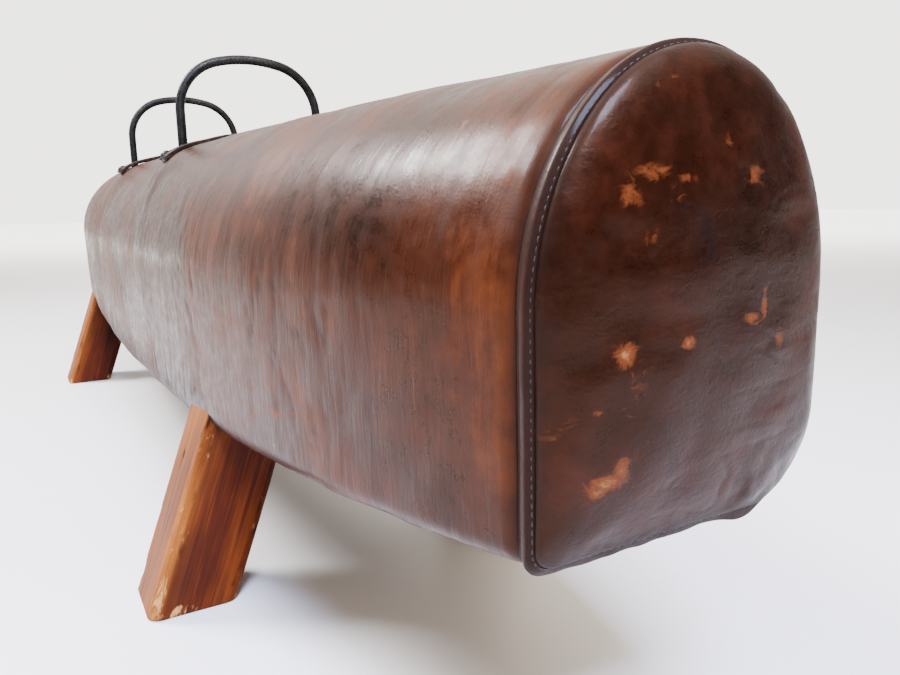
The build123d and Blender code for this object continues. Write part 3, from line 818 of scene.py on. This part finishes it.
def turned(profile, sides=40):
    """Points and faces of a shape turned about Z; the profile is (radius, height) from the top down."""
    rings = [[(r * cos(t), r * sin(t), h) for t in np.linspace(0, 2 * pi, sides, endpoint=False)]
             for r, h in profile]
    faces = grid_faces(len(profile), sides)
    faces.append(list(range(sides))[::-1])
    faces.append(list(range((len(profile) - 1) * sides, len(profile) * sides)))
    return np.array(rings).reshape(-1, 3), faces


def dome(radius, height, skirt, rows=12):
    """Profile of a domed head, from the middle of its top down to its seat."""
    profile = [(max(radius * sin(a), 0.02 * radius), height * cos(a)) for a in np.linspace(0, pi / 2, rows)]
    return profile + [(radius, -skirt)]


def seated(points, seat, outward):
    """Turns a shape made about Z so that it stands on a seat, pointing outward."""
    turn = Vector((0, 0, 1)).rotation_difference(Vector(outward)).to_matrix()
    return points @ np.array(turn).T + seat


def make_screws(end):
    """Round-headed coach screws, a worn slot across each, on thin washers."""
    sign = END_SIGN[end]
    parts = []
    for side in (-1, 1):
        seat, outward = crown_point(sign * HANDLE_X, side * SCREW_Y, STRAP_THICKNESS - 0.6 * MM)
        points, faces = turned(dome(7 * MM, 4.6 * MM, 1.5 * MM, 16), 56)
        angle = 0.6 * side + 0.3 * sign
        across = points[:, 0] * sin(angle) - points[:, 1] * cos(angle)
        slot_depth = 1.3 * MM * step(-np.abs(across), -1.0 * MM, -0.6 * MM) * step(points[:, 2], 0, 1 * MM)
        points[:, 2] -= slot_depth
        parts.append((seated(points, seat, outward), faces))
        washer, washer_faces = turned([(0.5 * MM, 0.9 * MM), (8.6 * MM, 0.9 * MM), (9.1 * MM, 0.4 * MM),
                                       (9.1 * MM, -0.8 * MM), (0.5 * MM, -0.8 * MM)])
        parts.append((seated(washer, seat, outward), washer_faces))
    mesh = joined(f"{end}_screw_heads", parts)
    ride_and_dress(f"{end}_screw_heads", mesh, screw_iron, (f"{end}_strap_screws",),
                   {"wear": np.full(len(mesh.vertices), 0.35)})


# ---- legs ----
def make_leg(end, side, seed):
    """A splayed block of beech, its arrises rounded by knocks, its foot cut level."""
    sx, sy = END_SIGN[end], SIDE_SIGN[side]
    columns, rows = 192, 150
    top = LEG_TOP / cos(LEG_SPLAY)
    levels = np.concatenate([np.linspace(0, 0.012, 10)[:-1], np.linspace(0.012, 1, rows - 9)])
    rings, near_arris = [], []
    tilt = np.tan(LEG_SPLAY) * sy
    for level in levels:
        foot_round = 2.2 * MM * (1 - min(level / 0.010, 1.0)) ** 2
        loop = rounded_loop(LEG_ALONG / 2 - foot_round, LEG_ACROSS / 2 - foot_round, LEG_ARRIS, columns)
        foot = -loop[:, 1] * tilt
        rings.append(np.column_stack([loop, foot + (top - foot) * level]))
        gap_a = LEG_ALONG / 2 - np.abs(loop[:, 0])
        gap_b = LEG_ACROSS / 2 - np.abs(loop[:, 1])
        near_arris.append(np.exp(-(gap_a + gap_b) / 0.009))
    points = np.array(rings).reshape(-1, 3)
    arris = np.array(near_arris).ravel()
    out = points[:, :2] / np.array([LEG_ALONG / 2, LEG_ACROSS / 2])
    out = np.sign(out) * np.abs(out) ** 6
    out /= np.linalg.norm(out, axis=1)[:, None] + 1e-9
    # knocks: chips out of the arrises, larger towards the foot, and shallow dents in the faces
    chips = step(waves(points, (0.010, 0.010, 0.016), seed), 0.18, 0.62) * arris
    chips += 0.6 * step(waves(points, (0.022, 0.022, 0.05), seed + 1), 0.15, 0.6) * arris
    dents = step(waves(points, (0.012, 0.012, 0.03), seed + 2), 0.45, 0.75) * (1 - arris)
    low = step(-points[:, 2], -0.05, -0.005)
    grain = waves(points, (0.0030, 0.0030, 0.10), seed + 3)
    depth = (1.5 * chips * (0.6 + low)) * MM + 0.35 * MM * dents + 0.10 * MM * grain
    hollow = 0.5 * MM * step(waves(points, (0.03, 0.03, 0.08), seed + 4), -0.2, 0.8)
    lift = (points[:, 2] > (points[:, 1] * -tilt) + 2 * MM)
    points[:, :2] -= out * ((depth + hollow) * lift)[:, None]
    wear = 0.85 * arris * step(waves(points, (0.02, 0.02, 0.05), seed + 5), -0.7, 0.2) + 0.4 * low * arris
    wear += 0.45 * step(waves(points, (0.03, 0.03, 0.035), seed + 6), 0.25, 0.6) * low
    beside = step(arris, 0.12, 0.35) * (1 - step(arris, 0.45, 0.7))
    # the chips and dents are darkened, partly dirt and partly painted shade; the leg is also darker towards
    # its top, and grime streaks run beside the arrises
    grime_and_shade = 0.5 * chips + 0.35 * dents + 0.25 * step(points[:, 2], 0.12, 0.19)
    grime_and_shade += 0.42 * beside * step(waves(points, (0.007, 0.007, 0.02), seed + 7), -0.3, 0.6)
    # painted light: the outer face, which the window lights, and its arrises are painted paler and golden
    outer = step(sy * points[:, 1], 0.026, 0.036)
    outer_arris = arris * step(sy * points[:, 1], 0.0, 0.02)
    uneven = 0.75 + 0.25 * waves(points, (0.02, 0.02, 0.06), seed + 8)
    painted_lit_face = np.maximum(0.8 * outer, 0.45 * outer_arris) * uneven
    if (end, side) == ("near", "left"):
        knot = blob(points, (-0.006, -0.037, 0.128), (0.0030, 0.02, 0.0060))
        grime_and_shade = np.maximum(grime_and_shade, 1.2 * knot)
        points[:, 1] += 0.8 * MM * knot
    grain = points + seed
    lean = np.array(Matrix.Rotation(sy * LEG_SPLAY, 3, "X"))
    points = points @ lean.T + (sx * LEG_X, sy * LEG_FOOT_Y, 0)
    points[:, 2] = np.maximum(points[:, 2], 0)
    mesh = capped_tube(f"{end}_{side}_leg_wood", points.reshape(len(levels), -1, 3))
    ride_and_dress(f"{end}_{side}_leg_wood", mesh, leg_wood, (f"{end}_{side}_leg",),
                   {"wear": wear, "grime_and_shade": grime_and_shade, "painted_lit_face": painted_lit_face}, grain)


# ---- belly ----
def make_belly():
    """The hide's two edges lap under the belly and are tacked to the board, cut edge showing."""
    stations = np.linspace(-COVER_X + 0.004, COVER_X - 0.004, 420)
    rings = []
    for x in stations:
        at = np.array([[x, 0, 0]])
        left = -FLAP_WIDTH / 2 - 1.6 * MM * waves(at, (0.03, 1, 1), 150)[0]
        right = FLAP_WIDTH / 2 + 1.8 * MM * waves(at, (0.05, 1, 1), 151)[0]
        loop = []
        for t in np.linspace(0, 1, 18):
            y = left + (right - left) * t
            edge = min(t, 1 - t)
            sag = (0.5 * MM * waves(np.array([[x, y, 0]]), (0.04, 0.02, 1), 152)[0]) * min(edge * 8, 1)
            loop.append((x, y, underside(x) - 2.2 * MM * min(0.45 + edge * 14, 1) + sag))
        for t in np.linspace(1, 0, 6):
            loop.append((x, left + (right - left) * t, underside(x) + 2 * MM))
        rings.append(loop)
    rings = np.array(rings)
    mesh = capped_tube("belly_flap_leather", rings)
    count = rings.shape[0] * rings.shape[1]
    middle = np.abs(rings.reshape(-1, 3)[:, 1]) / (FLAP_WIDTH / 2)
    ride_and_dress("belly_flap_leather", mesh, flap_leather, ("belly_flap",),
                   {"wear": 0.5 * step(middle, 0.85, 1.0), "grime_and_shade": np.full(count, 0.15),
                    "stain": np.full(count, 0.3)})
    parts = []
    steps = int(TACK_REACH / TACK_PITCH)
    for number in range(-steps, steps + 1):
        for side in (-1, 1):
            x = number * TACK_PITCH + rng.uniform(-2, 2) * MM
            y = side * TACK_Y + rng.uniform(-1.2, 1.2) * MM
            points, faces = turned(dome(4.5 * MM, 2.0 * MM, 1.0 * MM, 7), 20)
            seat = np.array((x, y, underside(x) - 2.1 * MM))
            parts.append((seated(points, seat, (0.001, 0, -1)), faces))
    mesh = joined("belly_tack_heads", parts)
    ride_and_dress("belly_tack_heads", mesh, screw_iron, ("belly_tacks",),
                   {"wear": np.full(len(mesh.vertices), 0.2)})


make_body_leather()
for end in END_SIGN:
    make_end_cover(end)
    make_seam(end)
    make_handle(end)
    make_strap(end)
    make_screws(end)
for number, (end, side) in enumerate(product(END_SIGN, SIDE_SIGN)):
    make_leg(end, side, 160 + 10 * number)
make_belly()

# ---- what is left of the frame: the carcass inside ----
slots = {row["node"]: row["material_slot"] for row in frame["record"]["subparts"]}
for name, cad_node in frame["nodes"].items():
    if cad_node.hide_render:
        continue
    cad_node.data.materials.clear()
    cad_node.data.materials.append(hidden[slots[name]])

# ---- floor, light and camera ----
BRIGHT_SIDE = (-0.87, 0.50, 0.0)         # the side of the room with the pale wall

bpy.ops.mesh.primitive_plane_add(size=30)
floor = bpy.context.object
floor.name = "floor"
pale_floor, tree, shader = new_material("pale_painted_floor")
cloud = pattern(tree, (0.8, 0.8, 0.8), 3.0)
tree.links.new(ramp(tree, cloud, [(0.3, "#efe9e1"), (0.7, "#f5f0ea")]), shader.inputs["Base Color"])
shader.inputs["Roughness"].default_value = 0.38
# far off, the floor glows with painted light, rising with distance and towards the bright side, so that it
# runs into the bright room with no line between them
where = node(tree, "ShaderNodeTexCoord").outputs["Object"]
away = node(tree, "ShaderNodeVectorMath", {"operation": "LENGTH"}, i0=where).outputs["Value"]
beyond = node(tree, "ShaderNodeVectorMath", {"operation": "DOT_PRODUCT"}, i0=where, i1=BRIGHT_SIDE)
glow = maths(tree, "ADD", spread(tree, away, 2.5, 8.0, 0.0, 0.7),
             spread(tree, beyond.outputs["Value"], 1.0, 6.0, 0.0, 3.0))
shader.inputs["Emission Color"].default_value = linear("#f5f2ee")
tree.links.new(glow, shader.inputs["Emission Strength"])
floor.data.materials.append(pale_floor)

DIM_LIGHT, ROOM_LIGHT, BACKDROP_LIGHT = 0.15, 2.0, 3.9   # dim side, pale wall, and how bright that wall looks
world = bpy.data.worlds.new("studio")
bpy.context.scene.world = world
world.use_nodes = True
sky = world.node_tree
sky.nodes["Background"].inputs[0].default_value = linear("#f5f2ee")
seen = node(sky, "ShaderNodeLightPath").outputs["Is Camera Ray"]
heading = node(sky, "ShaderNodeTexCoord").outputs["Generated"]
facing_wall = node(sky, "ShaderNodeVectorMath", {"operation": "DOT_PRODUCT"}, i0=heading, i1=BRIGHT_SIDE)
shed = spread(sky, facing_wall.outputs["Value"], 0.0, 0.95, DIM_LIGHT, ROOM_LIGHT)
shown = maths(sky, "MULTIPLY", seen, BACKDROP_LIGHT)
hidden_share = maths(sky, "MULTIPLY", maths(sky, "SUBTRACT", 1.0, seen), shed)
sky.links.new(maths(sky, "ADD", shown, hidden_share), sky.nodes["Background"].inputs[1])


def soft_window(name, target, direction, distance, width, height, power, colour):
    """A window's worth of soft light, square on to its target."""
    light = bpy.data.lights.new(name, "AREA")
    light.shape = "RECTANGLE"
    light.size, light.size_y = width, height
    light.energy = power
    light.color = linear(colour)[:3]
    lamp = bpy.data.objects.new(name, light)
    bpy.context.scene.collection.objects.link(lamp)
    facing = Vector(direction).normalized()
    lamp.location = Vector(target) + facing * distance
    lamp.rotation_euler = (-facing).to_track_quat("-Z", "Y").to_euler()


soft_window("window_left", (0.88, -0.09, 0.37), (-0.655, -0.42, 0.63), 3.0, 1.05, 0.75, 250, "#f2f5ff")
soft_window("window_overhead", (0.95, -0.08, 0.39), (0.50, -0.14, 0.85), 2.2, 0.85, 0.85, 340, "#c8d5ff")
soft_window("ceiling", (0.2, 0.0, 0.0), (0.0, 0.1, 1.0), 3.4, 8.0, 8.0, 340, "#fff0dc")

YAW, PITCH, ROLL = radians(29.96), radians(10.57), radians(-0.86)
CAMERA_AT, SENSOR_WIDTH, FOCAL_LENGTH = (1.1884, -0.2772, 0.3587), 36, 29.85
forward = Vector((-cos(YAW) * cos(PITCH), sin(YAW) * cos(PITCH), -sin(PITCH)))
level_right = forward.cross(Vector((0, 0, 1))).normalized()
level_up = level_right.cross(forward)
right = level_right * cos(ROLL) + level_up * sin(ROLL)
up = level_up * cos(ROLL) - level_right * sin(ROLL)
lens = bpy.data.cameras.new("camera")
lens.sensor_width = SENSOR_WIDTH
lens.lens = FOCAL_LENGTH
camera = bpy.data.objects.new("camera", lens)
bpy.context.scene.collection.objects.link(camera)
turn = Matrix((right, up, -forward)).transposed().to_4x4()
camera.matrix_world = Matrix.Translation(CAMERA_AT) @ turn
bpy.context.scene.camera = camera
